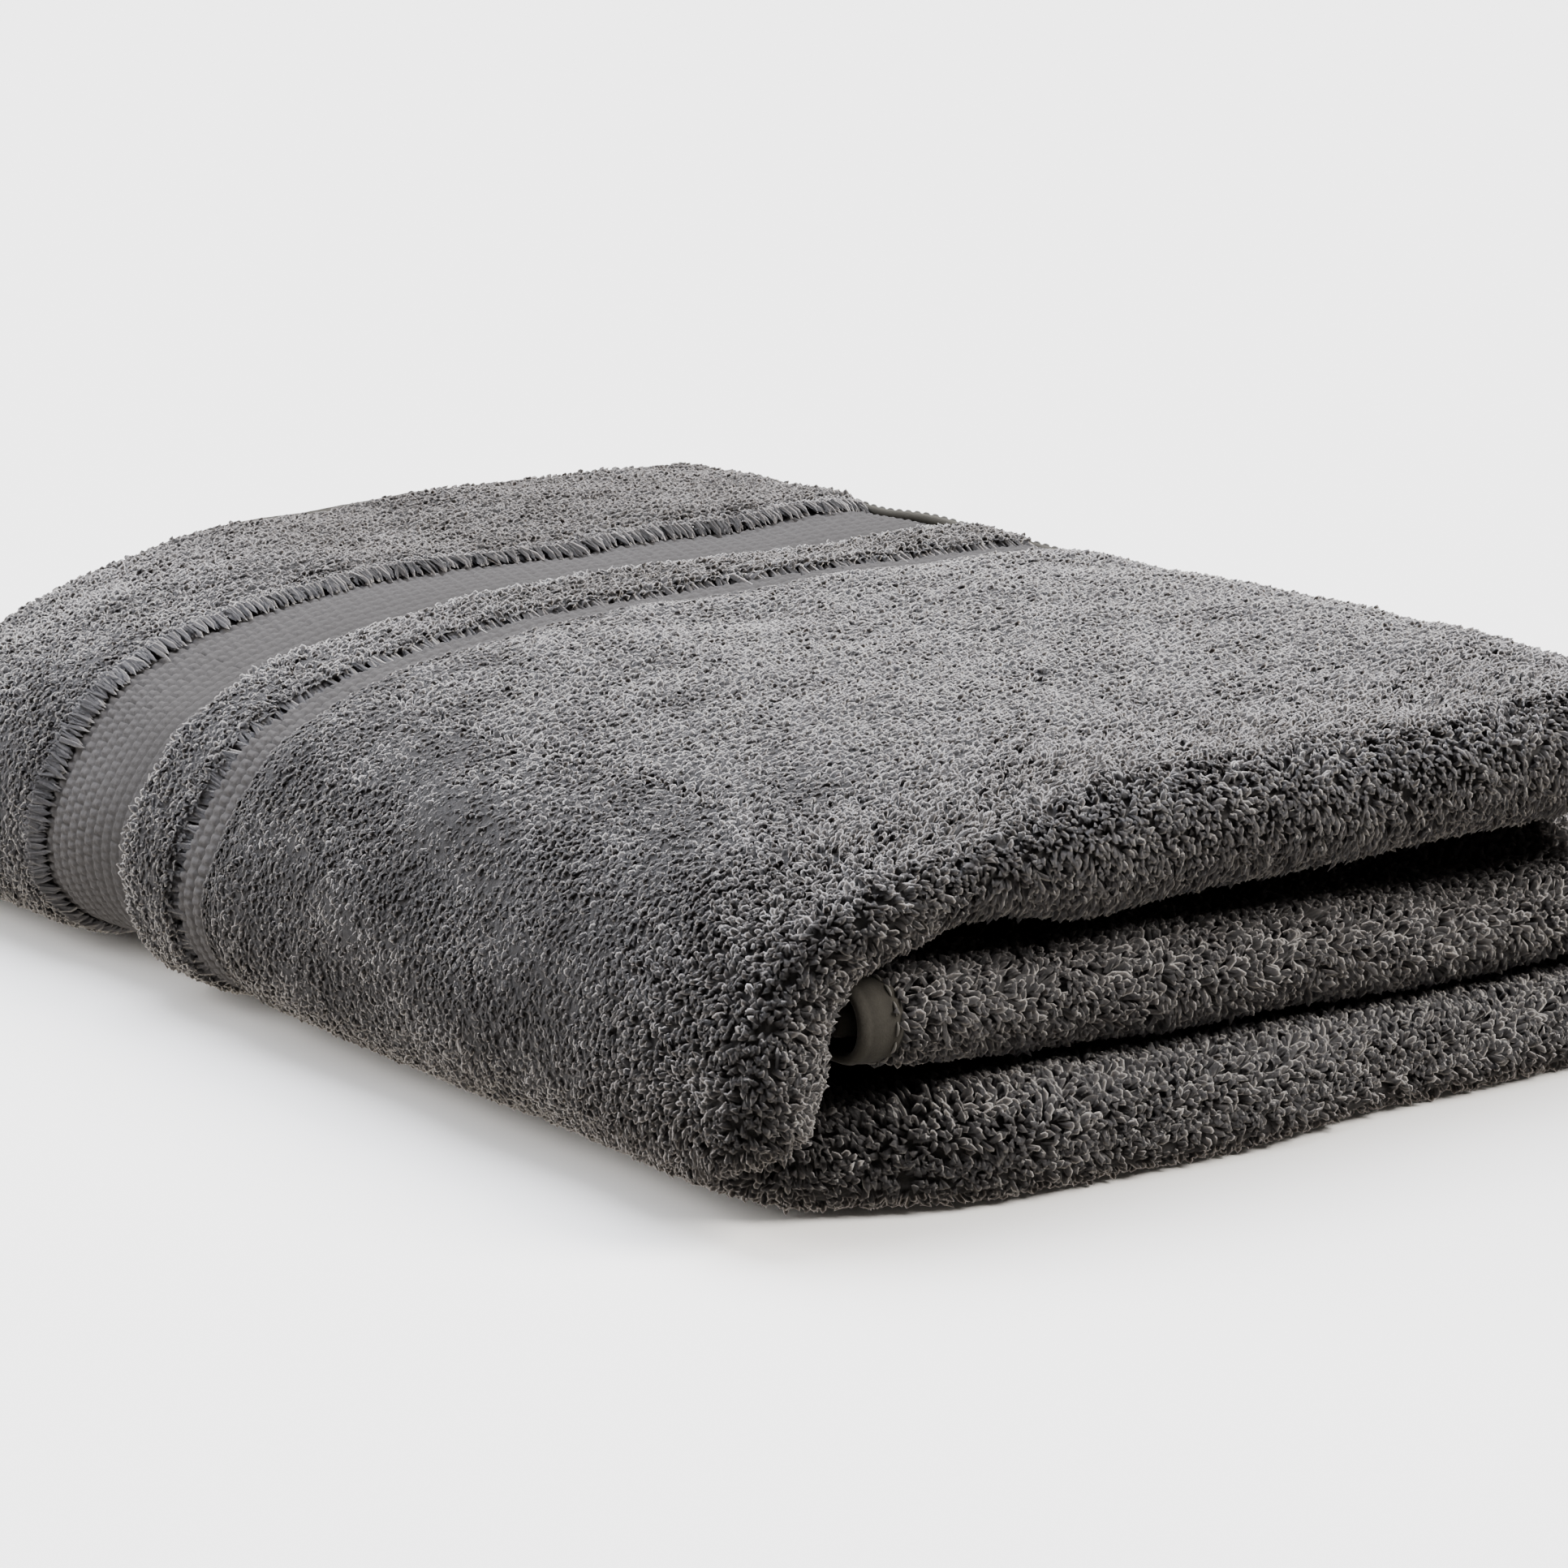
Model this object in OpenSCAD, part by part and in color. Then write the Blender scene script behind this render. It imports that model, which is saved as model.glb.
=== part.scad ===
// One plush bath towel, folded for the shelf.
//
// The cloth is folded in quarters along its length, then in thirds across its width, so the pack
// is twelve layers high. Seen from the front (-Y) the thirds are, from the floor up, the bottom
// panel, the inner flap that comes over from the right bend, and the top flap that comes over from
// the left bend. The top flap opens about the left bend.
//
// Each third is the same section, drawn once in the plane (s, y): s runs from the face that lies
// inside the pack to the face that lies outside, y from the front roll to the hemmed back end.
//   layer 4 (outside)  ends in a border: narrow band, pile strip, wide band, header, end hem
//   layer 3            the other end of the cloth, with its own end hem
//   layers 2 and 1     one cloth, turned at the back
// Layers 1 and 4 are one cloth turned round the front, and so are layers 2 and 3 inside them.

/* [Folded pack] */
// Width of the pack, from the left bend to the right bend
pack_w = 254; // [230:1:280]
// Length of the pack, from the front roll to the back end
pack_l = 350; // [320:1:380]
// How far the inner flap's front roll is set back from the bottom panel's
inner_flap_setback = 6; // [0:1:15]
// How far the top flap's front roll is set back from the bottom panel's
top_flap_setback = 2; // [0:1:15]
// How far the top flap's free edge stops short of the right bend's outside
top_flap_reveal = 9; // [2:1:30]
// How far the inner flap's cloth stops short of the left bend, into which its side hem reaches
inner_flap_room = 1.5; // [1:0.5:20]

/* [Cloth] */
// Thickness of one layer of terry cloth, with its pile pressed in the stack
layer_t = 6.5; // [5.5:0.1:7]
// Height of the pile above the ground weave on the outer face
pile_h = 4.4; // [2:0.1:4.8]
// Thickness of a hem, which is ground weave turned twice with no pile
hem_t = 3; // [1.5:0.1:4]

/* [Border and hems] */
// Width of the header pile between the wide band and the end of the towel, end hem included
header_w = 81; // [60:1:90]
// Width of the wide woven band
wide_band_w = 43; // [20:1:45]
// Width of the strip of pile between the bands
pile_strip_w = 17; // [8:1:30]
// Width of the narrow woven band
narrow_band_w = 14; // [6:1:20]
// Width of the hem across each end of the towel
end_hem_w = 12; // [8:1:20]
// Width of the hem down each long side of the towel
side_hem_w = 10; // [6:1:10]
// Height that one layer takes at a side hem, where there is no pile and the edges are gathered
side_hem_pitch = 4.2; // [4:0.1:5]
// Thickness of the sewing thread where it lies on a hem
thread_d = 0.8; // [0.5:0.1:1]

/* [Hidden] */
SEGMENTS = ["bottom", "right_bend", "inner_flap", "left_bend", "top_flap"];
PIECES = ["outer_cloth", "inner_cloth", "back_turn", "narrow_band", "pile_strip", "wide_band",
          "header", "end_hems"];
SIDE_HEMS = ["inner_flap_side_hem", "top_flap_side_hem"];
STITCHES = ["inner_flap_side_stitch", "top_flap_side_stitch"];

$fn = 96;
// Clearance between layers of one panel, and between panels
ply_gap = 0.15;
panel_gap = 0.5;
// Clearance where the top flap leaves the left bend
bend_gap = 0.3;

layers = 4;
panel_t = layers * layer_t;
// Floor of each third, and the height of the pack
flap_z = panel_t + panel_gap;
top_z = 2 * (panel_t + panel_gap);
pack_h = top_z + panel_t;

// The right bend turns round nothing, the left bend round the inner flap
right_r_in = panel_gap / 2;
left_r_in = panel_t / 2 + panel_gap;
right_bend_x = pack_w / 2 - panel_t - right_r_in;
left_bend_x = -pack_w / 2 + panel_t + left_r_in;
right_bend_z = panel_t + right_r_in;
left_bend_z = pack_h / 2;

front_y = -pack_l / 2;
back_y = pack_l / 2;
inner_flap_x = left_bend_x + inner_flap_room - side_hem_w;
top_flap_x = pack_w / 2 - top_flap_reveal;

// Where the border's pieces meet along the cloth
wide_back_y = back_y - header_w;
wide_front_y = wide_back_y - wide_band_w;
narrow_back_y = wide_front_y - pile_strip_w;
narrow_front_y = narrow_back_y - narrow_band_w;

// Heights of the layers in the section: each layer keeps half a ply gap free on both faces
function layer_low(n) = (n - 1) * layer_t + (n == 1 ? 0 : ply_gap / 2);
function layer_high(n) = n * layer_t - (n == layers ? 0 : ply_gap / 2);
// The front roll of a third, by the name of its segment
function front_of(s) = front_y + (s == "inner_flap" ? inner_flap_setback : s == "top_flap" ? top_flap_setback : 0);

// ---------------------------------------------------------------- the section's pieces, in (s, y)

// A rectangle of layer n, or of its lowest part when thick is given
module strip(n, y0, y1, thick = 0) {
    high = thick > 0 ? layer_low(n) + thick : layer_high(n);
    translate([layer_low(n), y0])
        square([high - layer_low(n), y1 - y0]);
}

// A half disc of radius r about the section's point (s, y), bulging to the front or to the back
module half_disc(s, y, r, back = false) {
    translate([s, y])
        intersection() {
            circle(r = r);
            translate([-r, back ? 0 : -r])
                square([2 * r, r]);
        }
}

// Layers 1 and 4 and the roll that joins them round the front
module outer_cloth_section(y_front) {
    mid = panel_t / 2;
    roll_y = y_front + mid;
    difference() {
        half_disc(mid, roll_y, mid);
        half_disc(mid, roll_y, mid - layer_high(1));
    }
    strip(1, roll_y, back_y - layer_t);
    strip(4, roll_y, narrow_front_y);
}

// Layers 2 and 3 and the roll that joins them, inside the outer cloth
module inner_cloth_section(y_front) {
    mid = panel_t / 2;
    roll_y = y_front + mid;
    half_disc(mid, roll_y, mid - layer_low(2));
    strip(2, roll_y, back_y - layer_t);
    strip(3, roll_y, back_y - end_hem_w);
}

// The turn at the back that joins layers 1 and 2
module back_turn_section() {
    half_disc(layer_t, back_y - layer_t, layer_t - ply_gap / 2, back = true);
}

module end_hems_section() {
    strip(3, back_y - end_hem_w, back_y, hem_t);
    strip(4, back_y - end_hem_w, back_y, hem_t);
}

module section(piece, y_front) {
    band_t = layer_t - pile_h - ply_gap / 2;
    if (piece == "outer_cloth") outer_cloth_section(y_front);
    if (piece == "inner_cloth") inner_cloth_section(y_front);
    if (piece == "back_turn") back_turn_section();
    if (piece == "narrow_band") strip(4, narrow_front_y, narrow_back_y, band_t);
    if (piece == "pile_strip") strip(4, narrow_back_y, wide_front_y);
    if (piece == "wide_band") strip(4, wide_front_y, wide_back_y, band_t);
    if (piece == "header") strip(4, wide_back_y, back_y - end_hem_w);
    if (piece == "end_hems") end_hems_section();
}

// The side hem follows the cloth it edges, one turn inside the other, gathered to mid height
module side_hem_section(y_front) {
    mid = panel_t / 2;
    roll_y = y_front + mid;
    for (turn = [1, 2]) {
        r = turn * side_hem_pitch;
        difference() {
            half_disc(mid, roll_y, r);
            half_disc(mid, roll_y, r - hem_t);
        }
        for (s = [mid - r, mid + r - hem_t])
            translate([s, roll_y])
                square([hem_t, back_y - layer_t - roll_y]);
    }
}

// ------------------------------------------------------------- the section carried along the pack

// The section pushed straight from x0 to x1 on floor z, outside face up
module panel(x0, x1, z)
    translate([x1, 0, z])
        rotate([0, -90, 0])
            linear_extrude(x1 - x0)
                children();

// The same with its outside face down, standing on the floor
module panel_face_down(x0, x1)
    translate([x0, 0, panel_t])
        rotate([0, 90, 0])
            linear_extrude(x1 - x0)
                children();

// The section swept half way round an axis along Y, outside face outwards; side is 1 or -1
module bend(x, z, r_in, side)
    translate([x, 0, z])
        rotate([-90, 0, 0])
            rotate([0, 0, -90 * side])
                rotate_extrude(angle = 180)
                    translate([r_in, 0])
                        children();

module segment(s, piece) {
    y_front = front_of(s);
    if (s == "bottom")
        panel_face_down(left_bend_x, right_bend_x) section(piece, y_front);
    if (s == "right_bend")
        bend(right_bend_x, right_bend_z, right_r_in, 1) section(piece, y_front);
    if (s == "inner_flap")
        panel(inner_flap_x + side_hem_w, right_bend_x, flap_z) section(piece, y_front);
    if (s == "left_bend")
        bend(left_bend_x, left_bend_z, left_r_in, -1) section(piece, y_front);
    if (s == "top_flap")
        panel(left_bend_x + bend_gap, top_flap_x - side_hem_w, top_z) section(piece, y_front);
}

function piece_colour(piece) =
    piece == "wide_band" || piece == "narrow_band" ? [0.38, 0.37, 0.37] :
    piece == "end_hems" ? [0.34, 0.33, 0.33] :
    piece == "header" || piece == "pile_strip" ? [0.47, 0.46, 0.47] :
    [0.44, 0.43, 0.44];

// Side hem of a flap: x0 is its left edge, z the flap's floor
module side_hem(x0, z, y_front)
    color([0.34, 0.33, 0.33])
        panel(x0, x0 + side_hem_w, z) side_hem_section(y_front);

// Line of sewing thread that lies along the outer face of a side hem
module side_stitch(x, z, y_front) {
    face = panel_t / 2 + 2 * side_hem_pitch;
    start_y = y_front + panel_t / 2;
    color([0.30, 0.29, 0.29])
        translate([x, start_y, z + face + thread_d / 2])
            rotate([-90, 0, 0])
                cylinder(d = thread_d, h = back_y - layer_t - start_y, $fn = 24);
}

for (s = SEGMENTS)
    for (p = PIECES)
        color(piece_colour(p)) segment(s, p);

side_hem(inner_flap_x, flap_z, front_of("inner_flap"));  // inner_flap_side_hem
side_hem(top_flap_x - side_hem_w, top_z, front_of("top_flap"));  // top_flap_side_hem
side_stitch(inner_flap_x + side_hem_w / 2, flap_z, front_of("inner_flap"));  // inner_flap_side_stitch
side_stitch(top_flap_x - side_hem_w / 2, top_z, front_of("top_flap"));  // top_flap_side_stitch
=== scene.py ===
import math
from collections import namedtuple

import bpy
import numpy as np
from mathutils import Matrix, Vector


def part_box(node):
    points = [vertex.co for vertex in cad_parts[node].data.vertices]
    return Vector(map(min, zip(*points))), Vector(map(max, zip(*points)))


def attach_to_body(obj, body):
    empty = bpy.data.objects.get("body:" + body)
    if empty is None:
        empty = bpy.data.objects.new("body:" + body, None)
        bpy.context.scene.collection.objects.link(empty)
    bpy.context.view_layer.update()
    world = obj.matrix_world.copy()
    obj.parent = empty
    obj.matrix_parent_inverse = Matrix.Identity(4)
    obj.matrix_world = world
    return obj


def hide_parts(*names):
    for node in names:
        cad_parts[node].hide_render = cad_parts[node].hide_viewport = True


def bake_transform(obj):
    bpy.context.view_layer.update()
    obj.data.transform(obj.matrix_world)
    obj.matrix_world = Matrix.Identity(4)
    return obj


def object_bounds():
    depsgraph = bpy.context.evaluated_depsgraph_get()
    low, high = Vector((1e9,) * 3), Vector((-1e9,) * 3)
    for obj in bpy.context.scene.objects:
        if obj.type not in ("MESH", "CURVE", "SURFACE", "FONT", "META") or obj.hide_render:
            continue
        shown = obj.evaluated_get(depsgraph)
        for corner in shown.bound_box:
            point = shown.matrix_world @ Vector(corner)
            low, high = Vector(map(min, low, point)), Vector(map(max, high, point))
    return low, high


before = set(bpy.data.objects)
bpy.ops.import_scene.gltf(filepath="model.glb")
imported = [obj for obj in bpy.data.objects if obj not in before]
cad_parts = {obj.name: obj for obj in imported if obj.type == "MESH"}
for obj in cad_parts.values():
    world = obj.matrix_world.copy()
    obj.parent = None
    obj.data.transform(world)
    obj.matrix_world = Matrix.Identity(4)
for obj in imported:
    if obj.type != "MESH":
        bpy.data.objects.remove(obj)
cad_low, cad_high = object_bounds()

MM = 0.001
PI = math.pi

# ---------------------------------------------------------------- sizes from the CAD frame, in millimetres
BACK_Y = cad_high.y / MM
FRONT_Y = cad_low.y / MM
TOP_Z = cad_high.z / MM
RIGHT_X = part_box("right_bend_outer_cloth")[0].x / MM
TOP_EDGE_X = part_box("top_flap_side_hem")[1].x / MM
HEM_W = TOP_EDGE_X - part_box("top_flap_side_hem")[0].x / MM
END_HEM = BACK_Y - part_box("top_flap_end_hems")[0].y / MM
HEADER_END = BACK_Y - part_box("top_flap_wide_band")[1].y / MM
WIDE_END = BACK_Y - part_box("top_flap_wide_band")[0].y / MM
STRIP_END = BACK_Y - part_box("top_flap_pile_strip")[0].y / MM
NARROW_END = BACK_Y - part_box("top_flap_narrow_band")[0].y / MM

# ---------------------------------------------------------------- the cloth
PILE = 4.4  # height of the pile above the ground weave
GROUND = 2.0  # thickness of the ground weave
HEM_T = 3.0  # thickness of an end hem
SIDE_HEM_T = 2.4
LAYER_C = 2.2  # the two middle layers lie this far each side of the panel's middle
PANEL = 25.0  # four layers pressed flat
EDGE_T = 19.5  # the same four layers at a hemmed edge
INNER_EDGE_X = -99.5  # the inner flap's free edge
FLOOR_GAP = 0.1  # nothing goes lower than this
BACK_TURN_Y = BACK_Y - 6.0  # where the layers start to turn at the back
SINK = 0.6  # the woven bands lie this much lower, with no pile under them
RISE = 1.3  # and the narrow one this much higher, up to the main pile's level
FOOT = 8.0  # how far the lowest roll's underside is pressed forward
DROP = 0.14  # how far the far left corner sags, as a share of its height

rng = np.random.default_rng(7)


class Hills:
    """Smooth random hills of about -1 to 1, `size` mm across, over two coordinates."""

    def __init__(self, seed, size, count=9):
        r = np.random.default_rng(seed)
        self.angle = r.uniform(0, 2 * PI, count)
        self.rate = 2 * PI / size * r.uniform(0.6, 1.5, count)
        self.phase = r.uniform(0, 2 * PI, count)

    def __call__(self, a, b):
        total = np.zeros(np.broadcast(a, b).shape)
        for angle, rate, phase in zip(self.angle, self.rate, self.phase):
            total += np.sin((a * math.cos(angle) + b * math.sin(angle)) * rate + phase)
        return total / math.sqrt(len(self.angle) / 2) / 1.5


def smooth(t):
    t = np.clip(t, 0, 1)
    return t * t * (3 - 2 * t)


def unit(v):
    return v / np.maximum(np.linalg.norm(v, axis=-1, keepdims=True), 1e-9)


# ---------------------------------------------------------------- the fold path
INNER_Z = 51.5  # height of the inner flap's top face
BASE_Z = 0.2  # height of the pack's underside
INNER_Z_FRONT = 38.2  # and of the right bend's top at the front rolls, where the stack is pressed down


def path_rows():
    """Rows of part, x and z of the outer face, and thickness, from the inner flap's free edge on."""
    rows = [
        ("inner", INNER_EDGE_X, 50.0, EDGE_T),
        ("inner", INNER_EDGE_X + 9, 50.5, 22.5),
        ("inner", -82, INNER_Z, PANEL),
        ("inner", -40, INNER_Z, PANEL),
        ("inner", 20, INNER_Z, PANEL),
        ("inner", 70, INNER_Z, PANEL),
    ]
    radius = INNER_Z / 2
    for k in range(7):
        a = PI / 2 - k * PI / 6
        rows.append(("right", RIGHT_X + radius * math.cos(a), radius + radius * math.sin(a) + BASE_Z, 24.0))
    rows += [("bottom", x, BASE_Z, PANEL) for x in (70, 20, -40, -75)]
    rows += [
        ("left", -92, 0.3, 24.0),
        ("left", -106, 1.5, 22.5),
        ("left", -118, 7.5, 21.0),
        ("left", -125, 17, 20.0),
        ("left", -126.6, 27.5, 20.0),
        ("left", -124.3, 38.5, 20.5),
        ("left", -118.8, 49, 21.0),
        ("left", -109.5, 59.5, 22.0),
        ("left", -94, 67.5, 23.0),
        ("top", -74, 73.4, 24.0),
        ("top", -62, 75.7, 25.0),
        ("top", -48, 77.4, 26.0),
        ("top", -15, 78.7, 27.0),
        ("top", 25, 79.2, 27.3),
        ("top", 65, 79.4, 27.5),
        ("top", 95, 79.0, 28.0),
        ("top", 110, 77.8, 28.0),
        ("top", TOP_EDGE_X + 2, 74.6, 26.0),
    ]
    return rows


def front_of(part, x, z):
    """The same place of the path at the front rolls: x, z, thickness, and the roll's foremost y."""
    share = np.clip((x + 100) / 200, 0, 1)
    corner = np.interp(x, [-127, -110, -95, -82, -68, -50], [24, 21, 15, 8, 3.2, 0])
    if part == "inner":
        top = np.interp(x, [-100, -80, -58, -18, 7, 45, 70], [48.5, 48.3, 47.2, 44.5, 43.2, 41.2, 38.4])
        under = np.interp(x, [-100, -80, -58, -18, 25, 70], [29.9, 28.3, 25.7, 21.9, 21.7, 19.4])
        return x, top, top - under, FRONT_Y + 6.5
    if part == "right":
        squeeze = INNER_Z_FRONT / INNER_Z
        turned = (z - 25.9) / (INNER_Z / 2)
        return RIGHT_X + (x - RIGHT_X) * squeeze, BASE_Z + z * squeeze, 18.5, FRONT_Y + 3.2 + 3.2 * turned
    if part == "bottom":
        return x, z, 24.5 - 7.0 * share, FRONT_Y + corner
    high = smooth((z - 6) / 14)
    if part == "left":
        crease = 5.0 * math.exp(-(((z - 9) / 4) ** 2))
        wall = np.interp(z, [2, 17, 28, 39, 49, 60, 68], [22, 21.5, 22.5, 24, 21, 18, 17.5])
        return x, z, wall, FRONT_Y + corner * (1 - 0.68 * high) + 1 + crease
    lip_x = [-94, -74, -68, -60, -48, -15, 95, 110, 117]
    lip = np.interp(x, lip_x, [17.5, 16.4, 17.5, 20.5, 25.6, 26.9, 27.2, 26, 22.8])
    return x, z - 1.8, lip, FRONT_Y + corner * 0.5 + 2


def ease_of(part, x):
    """How far back from the front roll the panel takes to open out to its full height."""
    return 40.0 if part == "right" or (part == "top" and x > 90) else 75.0


rows = path_rows()
table = np.array([[x, z, t, *front_of(part, x, z), ease_of(part, x)] for part, x, z, t in rows])
parts = [r[0] for r in rows]


def hermite(p, samples):
    """Smooth curve through the rows of p, by chord length of its first two columns."""
    h = np.linalg.norm(np.diff(p[:, :2], axis=0), axis=1)
    t = np.concatenate([[0], np.cumsum(h)])
    d = np.diff(p, axis=0) / h[:, None]
    inside = (h[1:, None] * d[:-1] + h[:-1, None] * d[1:]) / (h[:-1] + h[1:])[:, None]
    m = np.vstack([d[:1], inside, d[-1:]])
    u = np.linspace(0, t[-1], samples)
    i = np.clip(np.searchsorted(t, u, side="right") - 1, 0, len(h) - 1)
    s = ((u - t[i]) / h[i])[:, None]
    hi = h[i][:, None]
    a = p[i] * (2 * s**3 - 3 * s**2 + 1) + m[i] * hi * (s**3 - 2 * s**2 + s)
    b = p[i + 1] * (3 * s**2 - 2 * s**3) + m[i + 1] * hi * (s**3 - s**2)
    return u, a + b, t


path_u, path, knots = hermite(table, 2400)
LENGTH = path_u[-1]


def inward(x, z):
    """The direction from the path to the inside of the cloth."""
    tangent = unit(np.stack([np.gradient(x), np.gradient(z)], axis=1))
    return tangent[:, 1], -tangent[:, 0]


path_n = inward(path[:, 0], path[:, 1])
path_nf = inward(path[:, 3], path[:, 4])
columns = [*path.T, *path_n, *path_nf]


def first(part):
    """Where the part starts along the path."""
    return knots[parts.index(part)]


BOTTOM_U = first("bottom") - 30.0
TOP_U = first("top") - 14.0
SPAN = {
    "inner_flap": (0.0, first("right")),
    "right_bend": (first("right"), BOTTOM_U),
    "bottom": (BOTTOM_U, first("left")),
    "left_bend": (first("left"), TOP_U),
    "top_flap": (TOP_U, LENGTH),
}

hill_wide = Hills(11, 95, 7)
hill_mid = Hills(12, 34, 11)
hill_side = Hills(13, 60, 7)


def settle(p):
    """The soft stack's own weight: the far left corner sags, and every face is a little uneven."""
    x, y, z = p[..., 0], p[..., 1], p[..., 2]
    sag = DROP * np.clip((10 - x) / 100, 0, 1.25) ** 2 * np.clip((y - 105) / 70, 0, 1.1) ** 2
    height = np.clip(z / TOP_Z, 0, 1)
    z2 = z * (1 - sag)
    z2 = z2 + height * (0.55 * hill_wide(x, y) + 0.35 * hill_mid(x, y) - 0.5)
    x2 = x + 0.7 * hill_side(y, z * 1.6) * np.clip((np.abs(x) - 60) / 50, 0, 1)
    y2 = y + 0.8 * hill_side(x + 40, z * 1.6) * np.clip((np.abs(y) - 120) / 40, 0, 1)
    y2 = y2 - FOOT * smooth((10 - z) / 10) * smooth((FRONT_Y + 38 - y) / 26) * smooth((x + 118) / 25)
    return np.stack([x2, y2, z2], axis=-1)


def station(u):
    """Every column of the path at u."""
    return [np.interp(u, path_u, c) for c in columns]


def locate(u, y, across, across_front, st=None):
    """The point of the path at u, at depth y, `across` mm in from the outer face."""
    x, z, th, xf, zf, thf, yf, ease, nx, nz, nxf, nzf = st or station(u)
    w = smooth((yf + thf / 2 + ease - y) / ease)
    px = (x + nx * across) * (1 - w) + (xf + nxf * across_front) * w
    pz = (z + nz * across) * (1 - w) + (zf + nzf * across_front) * w
    return settle(np.stack([px, np.broadcast_to(y, px.shape), pz], axis=-1))


def place(u, v, depth):
    """Outer skin of the folded panel: v runs from the back edge over face A, round the front roll, and back
    along face B.  depth is measured in from the tips of the pile."""
    u, v, depth = np.broadcast_arrays(np.asarray(u, float), v, depth)
    st = station(u)
    th, thf, yf = st[2], st[5], st[6]
    r = thf / 2
    flat = BACK_Y - (yf + r)
    angle = np.clip((v - flat) / r, 0, PI)
    beyond = v - flat - PI * r
    on_a, on_b = v < flat, beyond > 0
    y = np.where(on_a, BACK_Y - v, np.where(on_b, yf + r + beyond, yf + r - (r - depth) * np.sin(angle)))
    roll = r - (r - depth) * np.cos(angle)
    front = np.where(on_a, depth, np.where(on_b, thf - depth, roll))
    middle = np.where(on_a, depth, np.where(on_b, th - depth, roll * th / thf))
    return locate(u, y, middle, front, st)


def sink(u, v):
    """How much lower the ground weave lies at v, round the woven bands and the strip between them."""
    edge = smooth((LENGTH - 8 - u) / 25) * smooth((u - 8) / 25)
    bands = SINK * smooth((v - HEADER_END + 4) / 5) * smooth((STRIP_END + 5 - v) / 8) * (0.2 + 0.8 * edge)
    return bands - RISE * smooth((v - STRIP_END) / 6) * smooth((NARROW_END + 8 - v) / 8)


def roll_start(u):
    """The v where face A turns into the front roll."""
    st = station(u)
    return BACK_Y - (st[6] + st[5] / 2)


def roll_end(u):
    """The v where the front roll turns into face B."""
    return roll_start(u) + PI * station(u)[5] / 2


def frames(where, u, v, *rest):
    """Point, outward normal and the two surface directions of the surface function `where`."""
    e = 0.6
    p = where(u, v, *rest)
    tu = unit(where(u + e, v, *rest) - where(u - e, v, *rest))
    tv = unit(where(u, v + e, *rest) - where(u, v - e, *rest))
    return p, unit(np.cross(tv, tu)), tu, tv


# ---------------------------------------------------------------- mesh helpers
def new_object(name, verts, faces, material, tone=None, normals=None):
    """faces is a list of index arrays, each with one column per corner."""
    mesh = bpy.data.meshes.new(name)
    verts = np.asarray(verts, np.float32) * MM
    verts[:, 2] = np.maximum(verts[:, 2], FLOOR_GAP * MM)
    faces = [f for f in faces if len(f)]
    loops = np.concatenate([f.ravel() for f in faces]).astype(np.int32)
    sizes = np.concatenate([np.full(len(f), f.shape[1]) for f in faces])
    starts = np.concatenate([[0], np.cumsum(sizes)[:-1]]).astype(np.int32)
    mesh.vertices.add(len(verts))
    mesh.vertices.foreach_set("co", verts.ravel())
    mesh.loops.add(len(loops))
    mesh.loops.foreach_set("vertex_index", loops)
    mesh.polygons.add(len(starts))
    mesh.polygons.foreach_set("loop_start", starts)
    mesh.update(calc_edges=True)
    mesh.validate()
    mesh.shade_smooth()
    if normals is not None:
        mesh.normals_split_custom_set_from_vertices(normals.astype(np.float32))
    if tone is not None:
        colour = np.repeat(np.asarray(tone, np.float32)[:, None], 4, axis=1)
        colour[:, 3] = 1
        layer = mesh.color_attributes.new("tone", "FLOAT_COLOR", "POINT")
        layer.data.foreach_set("color", colour.ravel())
    mesh.materials.append(material)
    obj = bpy.data.objects.new(name, mesh)
    bpy.context.scene.collection.objects.link(obj)
    return obj


def grid_faces(nu, nv, closed_v=False):
    """The quads of a grid of nu by nv points, closed into a tube if closed_v."""
    i = np.arange(nu - 1)[:, None]
    j = np.arange(nv if closed_v else nv - 1)[None, :]
    a = i * nv + j
    b = i * nv + (j + 1) % nv
    return np.stack([a, b, b + nv, a + nv], axis=-1).reshape(-1, 4)


def attach(obj, segment, nodes):
    """Which CAD body the piece moves with, and which CAD parts it stands for."""
    if segment == "left_bend":
        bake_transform(obj)
    else:
        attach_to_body(obj, "top_flap" if segment == "top_flap" else "folded_base")
    if nodes:
        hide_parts(*nodes)
    return obj


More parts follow.
